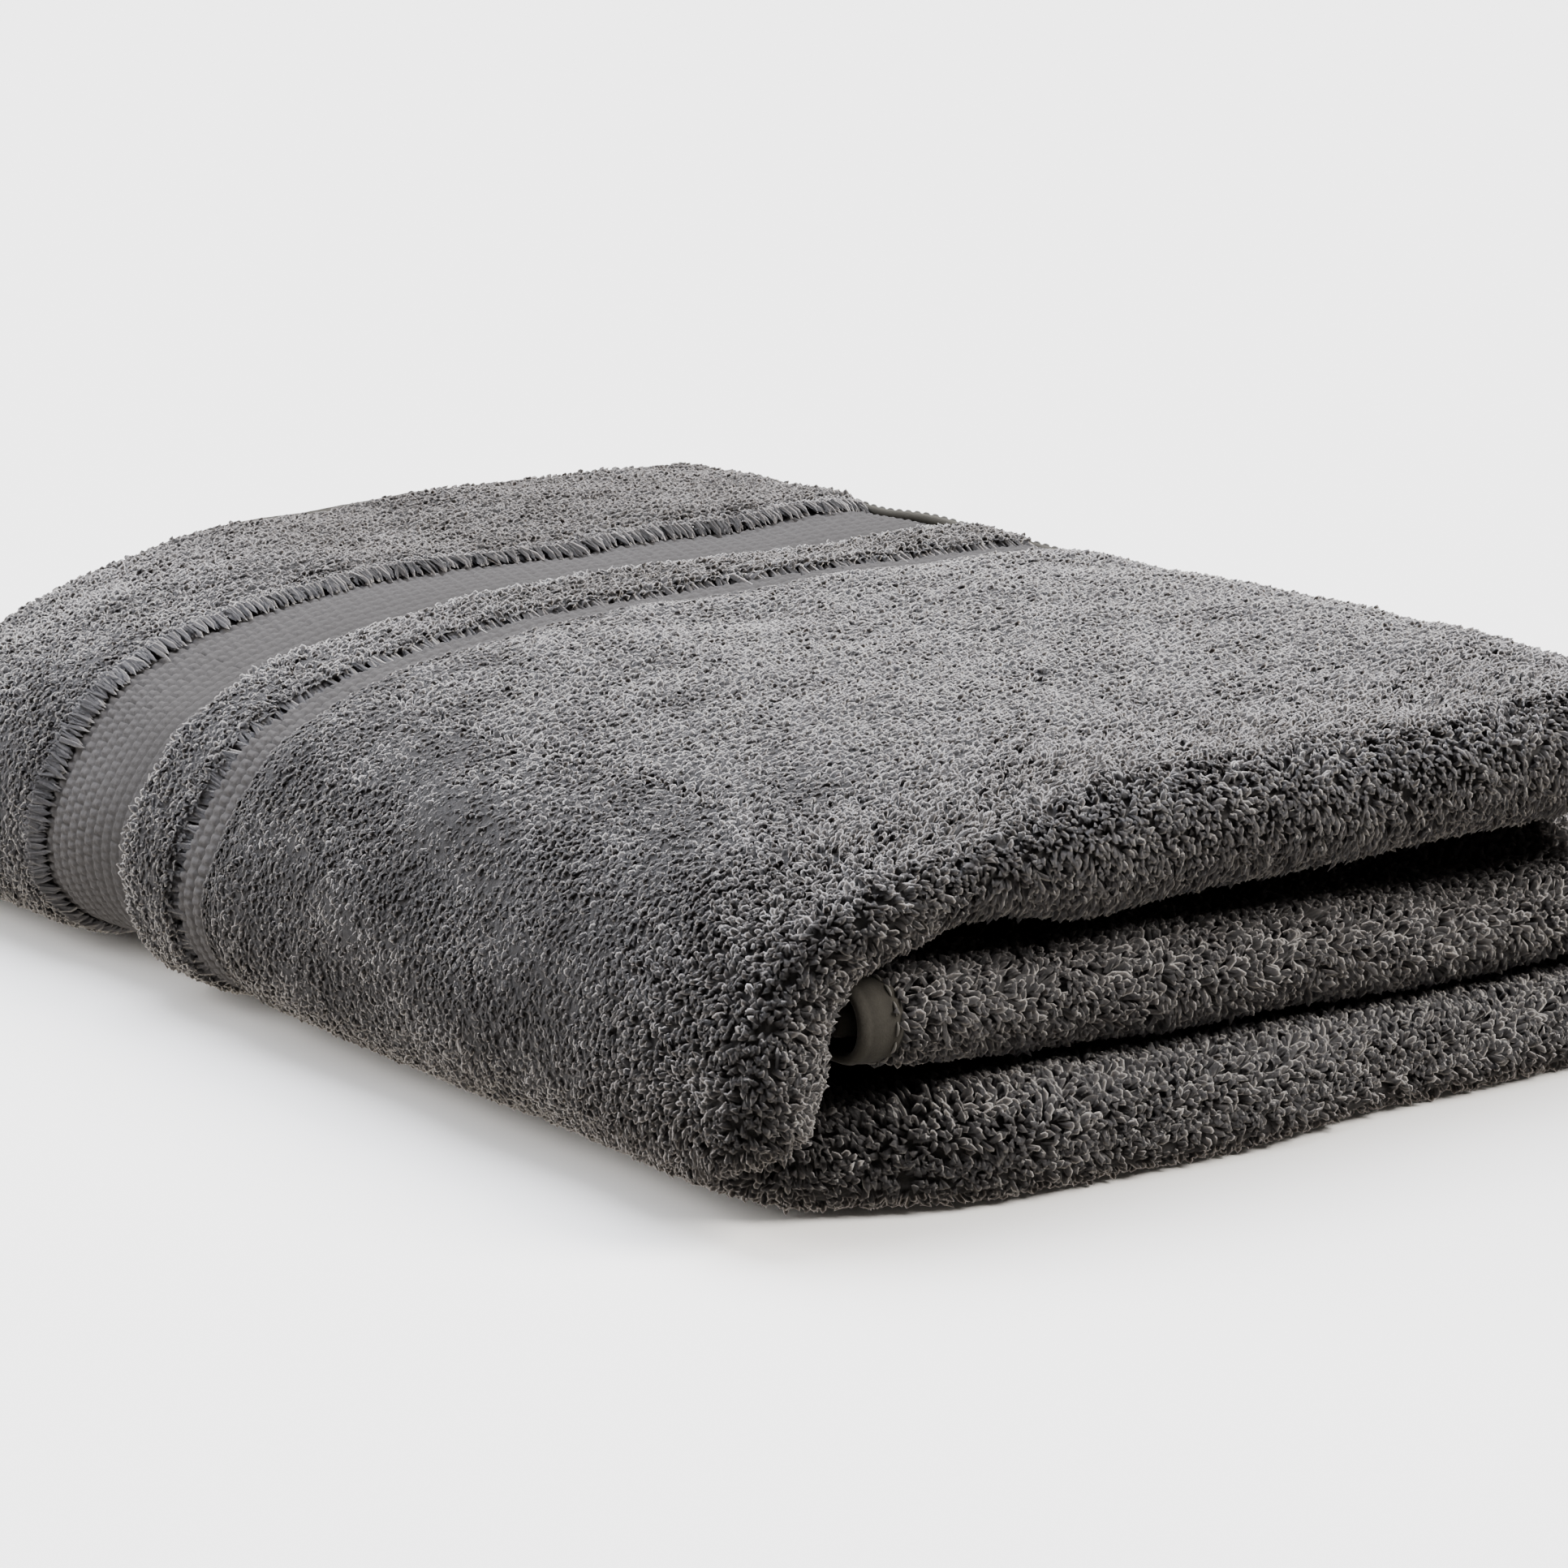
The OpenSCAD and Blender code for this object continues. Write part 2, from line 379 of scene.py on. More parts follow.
# ---------------------------------------------------------------- materials
def material(name, dark, light, roughness, sheen, bump_size, bump_strength, grain, scatter_share=0.0):
    """Woven or piled cotton: the tone attribute runs from its shaded to its open colour."""
    m = bpy.data.materials.new(name)
    m.use_nodes = True
    nodes, links = m.node_tree.nodes, m.node_tree.links
    shader = nodes["Principled BSDF"]
    tone = nodes.new("ShaderNodeVertexColor")
    tone.layer_name = "tone"
    coordinates = nodes.new("ShaderNodeTexCoord")
    fine = nodes.new("ShaderNodeTexNoise")
    fine.inputs["Scale"].default_value = bump_size
    fine.inputs["Detail"].default_value = 3
    links.new(coordinates.outputs["Object"], fine.inputs["Vector"])
    spread = nodes.new("ShaderNodeMapRange")
    spread.inputs["To Min"].default_value = 1 - grain
    spread.inputs["To Max"].default_value = 1 + grain
    links.new(fine.outputs["Fac"], spread.inputs["Value"])
    product = nodes.new("ShaderNodeMath")
    product.operation = "MULTIPLY"
    links.new(tone.outputs["Color"], product.inputs[0])
    links.new(spread.outputs["Result"], product.inputs[1])
    ramp = nodes.new("ShaderNodeMix")
    ramp.data_type = "RGBA"
    ramp.clamp_factor = False
    ramp.inputs["A"].default_value = (*dark, 1)
    ramp.inputs["B"].default_value = (*light, 1)
    links.new(product.outputs["Value"], ramp.inputs["Factor"])
    links.new(ramp.outputs["Result"], shader.inputs["Base Color"])
    bump = nodes.new("ShaderNodeBump")
    bump.inputs["Strength"].default_value = bump_strength
    bump.inputs["Distance"].default_value = 0.0003
    links.new(fine.outputs["Fac"], bump.inputs["Height"])
    links.new(bump.outputs["Normal"], shader.inputs["Normal"])
    shader.inputs["Roughness"].default_value = roughness
    shader.inputs["Sheen Weight"].default_value = sheen
    shader.inputs["Sheen Roughness"].default_value = 0.45
    shader.inputs["Specular IOR Level"].default_value = 0.05
    shader.inputs["Subsurface Weight"].default_value = scatter_share
    shader.inputs["Subsurface Scale"].default_value = 0.0019
    shader.inputs["Subsurface Radius"].default_value = (1.05, 1.0, 0.95)
    return m


PILE_M = material("pile", (0.010, 0.0090, 0.0074), (0.0500, 0.0496, 0.0528), 0.95, 0.0, 2600, 0.25, 0.12, 0.7)
BAND_M = material("woven_band", (0.012, 0.0110, 0.0098), (0.082, 0.0795, 0.082), 0.9, 0.05, 2200, 0.35, 0.12)
HEM_M = material("hem", (0.010, 0.009, 0.0078), (0.052, 0.0495, 0.044), 0.9, 0.04, 2200, 0.35, 0.14)
THREAD_M = material("thread", (0.05, 0.049, 0.047), (0.15, 0.146, 0.14), 0.7, 0.0, 3000, 0.2, 0.08)


# ---------------------------------------------------------------- pile
hill_lean_a = Hills(21, 26, 14)
hill_lean_b = Hills(22, 26, 14)
hill_lock_a = Hills(23, 7, 22)
hill_lock_b = Hills(24, 7, 22)
hill_tone = Hills(25, 42, 12)
hill_speck = Hills(26, 9, 18)
# Painted shade: a lock is darker at its root, down in the pile, than at its tip.
ROOT_PAINTED_SHADE = 0.62  # a lock's tone at its root, as a share of its tip's


def locks(base, normal, tu, tv, u, v, height, width, comb, stray, full, ruffle=1.0, droop=0.0, painted_light_shade=1.0):
    """A short curling lock of yarn per base point: a spindle with one or two rings between its root and tip.
    droop bends a leaning lock's tip back down, as a share of its height."""
    n = len(base)
    swirl = ruffle * ruffle * 0.3
    la = comb[0] + 0.2 * hill_lean_a(u, v) + swirl * hill_lock_a(u, v) + stray * ruffle * rng.normal(size=n)
    lb = comb[1] + 0.2 * hill_lean_b(u, v) + swirl * hill_lock_b(u, v) + stray * ruffle * rng.normal(size=n)
    lean = tu * la[:, None] + tv * lb[:, None]
    curl = (tu * rng.normal(size=n)[:, None] + tv * rng.normal(size=n)[:, None]) * 0.16
    h = height * (1 + 0.06 * rng.normal(size=n))[:, None]
    w = np.reshape(width * (1 + 0.1 * rng.normal(size=n)), (-1, 1))
    if full:
        rings = [(0.5, 0.26, 0.9, 0.95, 0.50), (0.9, 0.76, 0.5, 0.9, 0.9)]
    else:
        rings = [(0.66, 0.42, 0.6, 1.0, 0.66)]
    turn = rng.uniform(0, 2 * PI, n)
    shade = 0.9 + 0.07 * rng.normal(size=n) + 0.05 * hill_tone(u, v) + 0.04 * hill_speck(u, v)
    # the factor passed in paints light and shade onto each lock's tone
    shade = np.clip(shade, 0.4, 1.25) * painted_light_shade
    soft = (0.12 + 0.40 * smooth((ruffle - 0.45) / 0.75) * np.ones(n))[:, None]
    points, tone, shading = [base], [ROOT_PAINTED_SHADE * shade], [normal]
    sag = np.reshape(droop * np.ones(n), (-1, 1))
    lying = np.mean(sag) > 1  # a strand that lies over an edge, so its rings stand up
    tilt = lean * (0.1 if lying else 0.25)
    for up, out, bow, fat, t in rings:
        centre = base + normal * h * up * (1 - sag * out) + lean * h * out * 0.75 + curl * h * bow
        for k in range(3):
            a = turn + k * 2 * PI / 3
            side = tu * np.cos(a)[:, None] + (-normal if lying else tv) * np.sin(a)[:, None]
            points.append(centre + side * w * fat * 0.5)
            tone.append((ROOT_PAINTED_SHADE + (1 - ROOT_PAINTED_SHADE) * t) * shade)
            shading.append(unit(side * soft + normal * (1 - 0.6 * soft) + tilt))
    points.append(base + normal * h * (1 - sag) + lean * h * 0.75 + curl * h * 0.2)
    tone.append(shade)
    shading.append(unit(normal + tilt * 1.6))
    tip = len(points) - 1
    tris = [[0, 1 + k, 1 + (k + 1) % 3] for k in range(3)]
    tris += [[tip - 3 + (k + 1) % 3, tip - 3 + k, tip] for k in range(3)]
    quads = [[1 + (k + 1) % 3, 1 + k, 4 + k, 4 + (k + 1) % 3] for k in range(3)] if full else []
    pts = np.stack(points, axis=1).reshape(-1, 3)
    tns = np.stack(tone, axis=1).reshape(-1)
    offsets = (np.arange(n) * (tip + 1))[:, None, None]
    quads = np.array(quads, int).reshape(-1, 4)
    nms = np.stack(shading, axis=1).reshape(-1, 3)
    quads = (offsets + quads[None]).reshape(-1, 4)
    tris = (offsets + np.array(tris)[None]).reshape(-1, 3)
    return pts, tns, quads, tris, nms


FACE_LIMIT = 195000  # triangles in one piece


def pile_pieces(name, segment, nodes, batches):
    """Joins the batches of locks into pieces that each stay under the face limit."""
    made = []
    pieces, current, total = [], [], 0
    for batch in batches:
        triangles = 2 * len(batch[2]) + len(batch[3])
        if current and total + triangles > FACE_LIMIT:
            pieces.append(current)
            current, total = [], 0
        current.append(batch)
        total += triangles
    pieces.append(current)
    for index, group in enumerate(pieces):
        points = np.concatenate([g[0] for g in group])
        tones = np.concatenate([g[1] for g in group])
        starts = np.cumsum([0] + [len(g[0]) for g in group])[:-1]
        quads = np.concatenate([g[2] + s for g, s in zip(group, starts)])
        tris = np.concatenate([g[3] + s for g, s in zip(group, starts)])
        label = name if len(pieces) == 1 else f"{name}_{index + 1}"
        normals = np.concatenate([g[4] for g in group])
        obj = new_object(label, points, [quads, tris], PILE_M, tones, normals)
        attach(obj, segment, nodes)
        made.append(obj)
    return made


def scatter(u0, u1, v0, v1, pitch):
    """Jittered rows of points over a rectangle, in staggered order."""
    nu = max(1, int(round((u1 - u0) / pitch)))
    nv = max(1, int(round((v1 - v0) / pitch)))
    u, v = np.meshgrid((np.arange(nu) + 0.5) / nu, (np.arange(nv) + 0.5) / nv, indexing="ij")
    u = u + (np.arange(nv)[None, :] % 2 - 0.5) * 0.5 / nu
    u = u0 + u * (u1 - u0) + rng.uniform(-0.3, 0.3, u.shape) * pitch
    v = v0 + v * (v1 - v0) + rng.uniform(-0.3, 0.3, v.shape) * pitch
    u = np.clip(u, u0, u1)
    return u.ravel(), np.clip(v, v0, v1).ravel()


def roll_painted_shade_and_light(u, v):
    """Painted shade on the pile where it starts to turn over the front edge, and painted light on the rolls'
    fronts.
    """
    past = v - roll_start(u)
    painted_turn_shade = smooth((past + 50) / 45) * (1 - smooth((past - 2) / 8))
    places = [0, first("right"), first("bottom"), first("left") - 40, first("left"), TOP_U, TOP_U + 35]
    # painted light on the rolls' fronts, stronger on some stretches than others
    front = np.interp(u, places, [0.1, 0.12, 0.25, 0.3, 0, 0, 0.45])
    return 1 - 0.28 * painted_turn_shade + front * smooth((past - 4) / 8)


def pile_on(u, v, width, comb, stray=0.22, rings=True, height=PILE, root=None, slab=3000):
    """Locks rooted in the ground weave, or at the depth `root`, in batches small enough to share out.
    comb is their lean along u and along v, or a function that gives lean, lean, droop and a factor of painted
    light and shade."""
    out = []
    for s in range(0, len(u), slab):
        a, b = u[s : s + slab], v[s : s + slab]
        hh = height if np.isscalar(height) else height[s : s + slab, None]
        low = sink(a, b)
        base, normal, tu, tv = frames(place, a, b, root or PILE + 0.3 + low)
        hh = hh * (1 + low[:, None] / PILE)
        rough = 0.45 + 0.75 * smooth((b - roll_start(a) + 50) / 50)
        near = smooth((b - NARROW_END) / 9) + (b < NARROW_END - 1)
        taper = smooth((b - HEADER_END + 7) / 7) * (b < HEADER_END + 1)
        hh = hh * ((0.72 + 0.28 * near) * (1 - 0.3 * taper))[:, None]
        lean = comb(a, b) if callable(comb) else (*comb, 0.0, 1.0)
        combed = (lean[0], lean[1] + 0.7 * (1 - near))
        wide = width * (1.8 - 0.4 * smooth((rough - 0.5) / 0.6))
        # painted light and shade: the comb's factor times the rolls' painted shade and light
        painted_light_shade = lean[3] * roll_painted_shade_and_light(a, b)
        out.append(locks(base, normal, tu, tv, a, b, hh, wide, combed, stray, rings, rough, lean[2], painted_light_shade))
    return out


COMB = {
    "inner_flap": (0.15, 0.25),
    "right_bend": (0.1, 0.1),
    "bottom": (0.1, 0.1),
    "left_bend": (-0.15, 0.35),
    "top_flap": (0.1, 0.35),
}
ROLL_COMB = {
    "inner_flap": (0.1, 0.1),
    "right_bend": (0.1, 0.1),
    "bottom": (0.0, 0.1),
    "left_bend": (0.0, 0.2),
    "top_flap": (-0.45, 0.3),
}
Grain = namedtuple("Grain", "face roll under full")
# lock spacing on face A, on the front roll and on face B, and whether face A's locks have both rings
GRAIN = {
    "inner_flap": Grain(1.45, 1.3, 2.4, True),
    "right_bend": Grain(1.4, 1.4, 3.0, True),
    "bottom": Grain(2.3, 1.3, 2.6, False),
    "left_bend": Grain(1.0, 1.15, 1.9, True),
    "top_flap": Grain(1.05, 1.15, 1.8, True),
}
SEEN = ("left_bend", "top_flap")  # the outside stretches, which have the finest meshes
LOCK_FILL = 0.94  # width of a lock, as a share of the spacing
FACE_END = 350  # a v past every front roll's start
EDGE_GAP = HEM_W - 0.5  # the pile stops this far from a hemmed edge
FRINGE = 3.6  # how far from a woven band the pile leans over it
# painted light: the strands that lie over the bands' edges are brightened against the shade they lie in
STRAND_PAINTED_LIGHT = 1.8  # tone of the strands that lie over the bands' edges
BED = 0.85  # depth of the close inner pile under the tips, where the pile is smooth
BED_ROUGH = 1.25  # and how much deeper where it is ruffled


def pile_limits(segment):
    """Where the stretch's pile starts and ends along u."""
    u0, u1 = SPAN[segment]
    if segment == "inner_flap":
        u0 += EDGE_GAP
    if segment == "top_flap":
        u1 -= EDGE_GAP
    return u0, u1


def header_painted_light_shade(u):
    """Painted light on the header and the strip, lighter than the main pile on the left bend, and painted
    shade on them on top.
    """
    side = first("left")
    return np.interp(u, [side - 40, side + 10, TOP_U - 25, TOP_U + 60], [1.0, 1.3, 1.3, 0.5])


def strips(u0, u1, v0, v1, pitch, width=24.0):
    """The rectangle in strips across u, so that each piece of pile is one compact patch."""
    count = max(1, int(math.ceil((u1 - u0) / width)))
    for k in range(count):
        yield scatter(u0 + (u1 - u0) * k / count, u0 + (u1 - u0) * (k + 1) / count, v0, v1, pitch)


def face_pile(segment):
    """Face A's main pile, and the front roll."""
    grain = GRAIN[segment]
    u0, u1 = pile_limits(segment)
    batches = []
    for u, v in strips(u0, u1, NARROW_END, 345, grain.face):
        keep = v < roll_start(u)
        batches += pile_on(u[keep], v[keep], grain.face * LOCK_FILL, COMB[segment], rings=grain.full)
    for u, v in strips(u0, u1, 300, 400, grain.roll):
        keep = (v > roll_start(u)) & (v < roll_end(u) + 6)
        batches += pile_on(u[keep], v[keep], grain.roll * LOCK_FILL, ROLL_COMB[segment], rings=True)
    return batches


def under_pile(segment):
    """Face B, which faces the next panel."""
    pitch = GRAIN[segment].under
    u0, u1 = pile_limits(segment)
    batches = []
    for u, v in strips(u0, u1, 300, 720, pitch, 60.0):
        keep = (v > roll_end(u) + 5) & (v < roll_end(u) + roll_start(u) - 4)
        batches += pile_on(u[keep], v[keep], pitch * LOCK_FILL, (0.0, -0.15), rings=False)
    return batches


def pile_bed(segment):
    """The close inner part of the pile, as a shell a little under the tips; it dips down along its edges."""
    u0, u1 = pile_limits(segment)
    step = 1.0 if segment in SEEN else 2.0
    nu = int((u1 - u0) / step) + 2
    coarse = 0.0 if segment in SEEN else 0.55  # coarser meshes lie deeper
    points, tones, quads = [], [], []
    count = 0
    for v0, v1 in ((END_HEM, HEADER_END), (WIDE_END, STRIP_END), (NARROW_END, FACE_END)):
        nv = int((v1 - v0) / step) + 2
        u, t = np.meshgrid(np.linspace(u0, u1, nu), np.linspace(0, 1, nv), indexing="ij")
        main = v1 == FACE_END
        stop = roll_end(u) + 5 if main else v1
        v = v0 + (stop - v0) * t
        rough = smooth((v - roll_start(u) + 50) / 50)
        edge = np.minimum(np.minimum(u - u0, u1 - u), np.minimum(v - v0, stop - v))
        low_start = smooth((v - NARROW_END) / 9) if main else 1.0
        depth = BED + coarse + BED_ROUGH * rough + (1 - low_start) * PILE * 0.28
        if v1 == HEADER_END:
            depth = depth + 0.3 * PILE * smooth((v - HEADER_END + 7) / 7)
        depth = depth + (PILE - depth) * (1 - smooth(edge / 2.5)) + 0.12 * rng.normal(size=u.shape)
        points.append(place(u, v, depth + sink(u, v) * (1 - smooth(edge / 2.5))).reshape(-1, 3))
        # Painted light on the bed where it dips down along its edges, painted shade where it lies deep under
        # the ruffled pile, and the header's painted light and shade.
        painted_rim_light = 0.5 * (1 - smooth(edge / 3.5))
        border_painted_light_shade = 1.0 if main else header_painted_light_shade(u)
        tones.append((border_painted_light_shade * (0.72 + painted_rim_light - 0.2 * rough + 0.05 * rng.normal(size=u.shape))).ravel())
        quads.append(grid_faces(nu, nv)[:, ::-1] + count)
        count += nu * nv
    obj = new_object(
        f"{segment}_pile_bed", np.concatenate(points), [np.concatenate(quads)], PILE_M, np.concatenate(tones)
    )
    attach(obj, segment, nodes_of(segment, "outer_cloth", "header", "pile_strip"))
    return obj


def under_bed(segment):
    """The same for face B."""
    bed = 1.5
    u0, u1 = pile_limits(segment)
    nu, nv = int((u1 - u0) / 2.5) + 2, 150
    u, t = np.meshgrid(np.linspace(u0, u1, nu), np.linspace(0, 1, nv), indexing="ij")
    start = roll_end(u) + 3
    run = roll_start(u) - 9
    v = start + run * t
    edge = np.minimum(np.minimum(u - u0, u1 - u), np.minimum(v - start, start + run - v))
    depth = bed + (PILE - bed) * (1 - smooth(edge / 3.0)) + 0.15 * rng.normal(size=u.shape)
    points = place(u, v, depth).reshape(-1, 3)
    tone = 0.62 + 0.05 * rng.normal(size=len(points))
    obj = new_object(f"{segment}_under_bed", points, [grid_faces(nu, nv)[:, ::-1]], PILE_M, tone)
    return attach(obj, segment, [])


def header_comb(segment):
    """The stretch's own comb, with the header's painted light and shade."""

    def comb(a, b):
        return (*COMB[segment], 0.0, header_painted_light_shade(a))

    return comb


def fringe_comb(edge, side, reach):
    """Leans the locks out over the band's edge, more the nearer they are to it, and paints them lighter the
    nearer they are, as painted light against the edge's shade.
    """

    def comb(a, b):
        near = 1 - np.abs(edge - b) / FRINGE
        return 0.0, side * reach * (0.2 + 0.8 * near), 0.25 * reach * near**2, 1 + 0.35 * reach * near

    return comb


def strand_comb(reach):
    """Lays the strands down over the band's edge, with painted light on them."""

    def comb(a, b):
        return 0.0, reach, 1.9, STRAND_PAINTED_LIGHT * header_painted_light_shade(a)

    return comb


def border_pile(segment):
    """Header and the narrow strip between the two woven bands, with their long fringes."""
    pitch, rings = GRAIN[segment].face, GRAIN[segment].full
    u0, u1 = pile_limits(segment)
    batches = []
    for v0, v1 in ((END_HEM, HEADER_END), (WIDE_END, STRIP_END)):
        for u, v in strips(u0, u1, v0, v1, pitch):
            batches += pile_on(u, v, pitch * LOCK_FILL, header_comb(segment), rings=rings)
    fine = 1.05 if segment in SEEN else 1.4
    edges = ((HEADER_END, 1, 1.0, 0.2), (WIDE_END, -1, 0.4, 0.0), (STRIP_END, 1, 1.0, 0.2))
    for edge, side, reach, extra in edges:
        inner = edge - side * FRINGE
        low, high = min(inner, edge), max(inner, edge)
        for u, v in strips(u0, u1, low, high, fine, 80.0):
            comb = fringe_comb(edge, side, reach)
            batches += pile_on(u, v, fine * 0.95, comb, 0.2, True, PILE + extra)
    for edge, reach in ((HEADER_END, 4.6), (STRIP_END, 3.8)):
        for u, v in strips(u0, u1, edge - 3.8, edge - 0.4, fine, 80.0):
            batches += pile_on(u, v, 0.8, strand_comb(reach), 1.8, True, 2.2, root=2.1)
    return batches


# ---------------------------------------------------------------- ground weave, one cut of the towel per body
def section_path(u_mid):
    """(y, across, across at the front) along the four layers, from one end hem to the other, per station."""
    st = station(u_mid)
    th, thf, yf = st[2], st[5], st[6]
    r = thf / 2
    d = PILE + GROUND / 2
    rows_out = []

    def add(*row):
        rows_out.append([np.broadcast_to(value, th.shape) for value in row])

    yr = yf + r
    end = BACK_Y - 3
    flat_steps = 70
    for k in range(flat_steps + 1):
        yk = end + (yr - end) * k / flat_steps
        low = d + sink(u_mid, BACK_Y - yk)
        add(yk, low, low)
    for k in range(1, 12):
        a = PI * k / 12
        roll = r - (r - d) * np.cos(a)
        add(yr - (r - d) * math.sin(a), roll * th / thf, roll)
    back = BACK_TURN_Y
    for k in range(flat_steps + 1):
        add(yr + (back - yr) * k / flat_steps, th - d, thf - d)
    rt = (th / 2 - d - LAYER_C) / 2
    mid_f = (thf / 2 - d - LAYER_C) / 2
    for k in range(1, 8):
        a = PI * k / 8
        add(back + rt * math.sin(a), th - d - rt * (1 - math.cos(a)), thf - d - mid_f * (1 - math.cos(a)))
    inner = yf + d + 3.5
    for k in range(flat_steps + 1):
        add(back + (inner - back) * k / flat_steps, th / 2 + LAYER_C, thf / 2 + LAYER_C)
    for k in range(1, 6):
        a = PI * k / 6
        add(inner - LAYER_C * math.sin(a), th / 2 + LAYER_C * math.cos(a), thf / 2 + LAYER_C * math.cos(a))
    for k in range(flat_steps + 1):
        add(inner + (end - inner) * k / flat_steps, th / 2 - LAYER_C, thf / 2 - LAYER_C)
    return st, [np.stack(c) for c in zip(*rows_out)]


def ground_sheet(name, segment, u0, u1, nodes):
    """The ground weave of one body, a closed sheet through all four layers."""
    nu = max(3, int(round((u1 - u0) / 4.0)) + 1)
    u = np.linspace(u0, u1, nu)
    st, (y, a, b) = section_path(u)
    points = locate(u, y, a, b, st)
    tv = unit(np.gradient(points, axis=0))
    tu = unit(np.gradient(points, axis=1))
    normal = unit(np.cross(tv, tu))
    half = GROUND / 2
    nv = len(y)
    top = (points + normal * half).reshape(-1, 3)
    low = (points - normal * half).reshape(-1, 3)
    faces = grid_faces(nv, nu)
    count = nv * nu
    quads = [faces, faces[:, ::-1] + count]
    index = np.arange(count).reshape(nv, nu)
    for line, flip in ((index[0], 0), (index[-1], 1), (index[:, 0], 1), (index[:, -1], 0)):
        q = np.stack([line[:-1], line[1:], line[1:] + count, line[:-1] + count], axis=1)
        quads.append(q[:, ::-1] if flip else q)
    # Painted shade: the ground weave between the locks is dark (0.16); the left bend's is lighter, since it
    # shows when the bend opens.
    tone = np.full(2 * count, 0.6 if segment == "left_bend" else 0.16)  # the bend's shows when it opens
    obj = new_object(name, np.concatenate([top, low]), [np.concatenate(quads)], PILE_M, tone)
    attach(obj, segment, nodes)


def nodes_of(segment, *names):
    return [f"{segment}_{n}" for n in names]


# ---------------------------------------------------------------- woven bands
WEAVE_U = 2.4  # spacing of the raised cells along the band
WEAVE_V = 3.5  # and across it
CELL = 1.1  # their height


def woven_band(name, segment, v0, v1, step):
    """Rows of raised cells, set off by half a cell from row to row, fainter towards the far side."""
    u0, u1 = pile_limits(segment)
    v0, v1 = v0 - 1.2, v1 + 1.2
    nu = int((u1 - u0) / step) + 1
    nv = int((v1 - v0) / step) + 1
    u, v = np.meshgrid(np.linspace(u0, u1, nu), np.linspace(v0, v1, nv), indexing="ij")
    across = (v - v0 - 0.8) / WEAVE_V
    row = np.floor(across)
    cu = ((u / WEAVE_U + 0.5 * (row % 2)) % 1 - 0.5) * 2
    cv = (across % 1 - 0.5) * 2
    cell = np.sqrt(np.clip(1 - np.abs(cu) ** 2.2, 0, 1) * np.clip(1 - np.abs(cv) ** 3.5, 0, 1))
    edge = np.clip(np.minimum(v - v0, v1 - v) / 1.2, 0, 1)
    strength = 1.0 - 0.55 * smooth((v - v0 - 12) / 26)
    lift = CELL * cell * strength * (0.85 + 0.15 * np.sin(u * 1.7 + v * 2.3))
    points = place(u, v, PILE - 0.15 + sink(u, v) - lift)
    # Painted shade: the hollows between the raised cells and the band's edges are darker.
    tone = (0.42 + 0.4 * cell * strength) * (0.75 + 0.25 * edge) * (1 + 0.05 * rng.normal(size=u.shape))
    obj = new_object(name, points.reshape(-1, 3), [grid_faces(nu, nv)[:, ::-1]], BAND_M, tone.ravel())
    attach(obj, segment, nodes_of(segment, name.replace(segment + "_", "")))
    return obj


# ---------------------------------------------------------------- hems
def strip_mesh(centre, wide, thick, width, depth, sides=10, ribs=0.0, pitch=1.6):
    """A flat rounded strip swept along the rows of `centre`."""
    n = len(centre)
    a = np.linspace(0, 2 * PI, sides, endpoint=False)
    power = 0.55
    cx = np.sign(np.cos(a)) * np.abs(np.cos(a)) ** power
    cy = np.sign(np.sin(a)) * np.abs(np.sin(a)) ** power
    run = np.concatenate([[0], np.cumsum(np.linalg.norm(np.diff(centre, axis=0), axis=1))])
    rib = 1 + ribs * np.cos(cx * 3 * PI)[None] + 0.02 * np.sin(run[:, None] * 2 * PI / pitch)
    points = (
        centre[:, None]
        + wide[:, None] * (cx * width / 2)[None, :, None]
        + thick[:, None] * (cy[None, :, None] * depth / 2 * rib[..., None])
    )
    tone = 0.66 + 0.14 * np.cos(cx * 3 * PI)[None] + 0.04 * rng.normal(size=(n, sides))
    faces = grid_faces(n, sides, True)
    first_ring = np.arange(sides)[None, ::-1]
    last_ring = first_ring[:, ::-1] + (n - 1) * sides
    return points.reshape(-1, 3), [faces, first_ring, last_ring], tone.ravel()


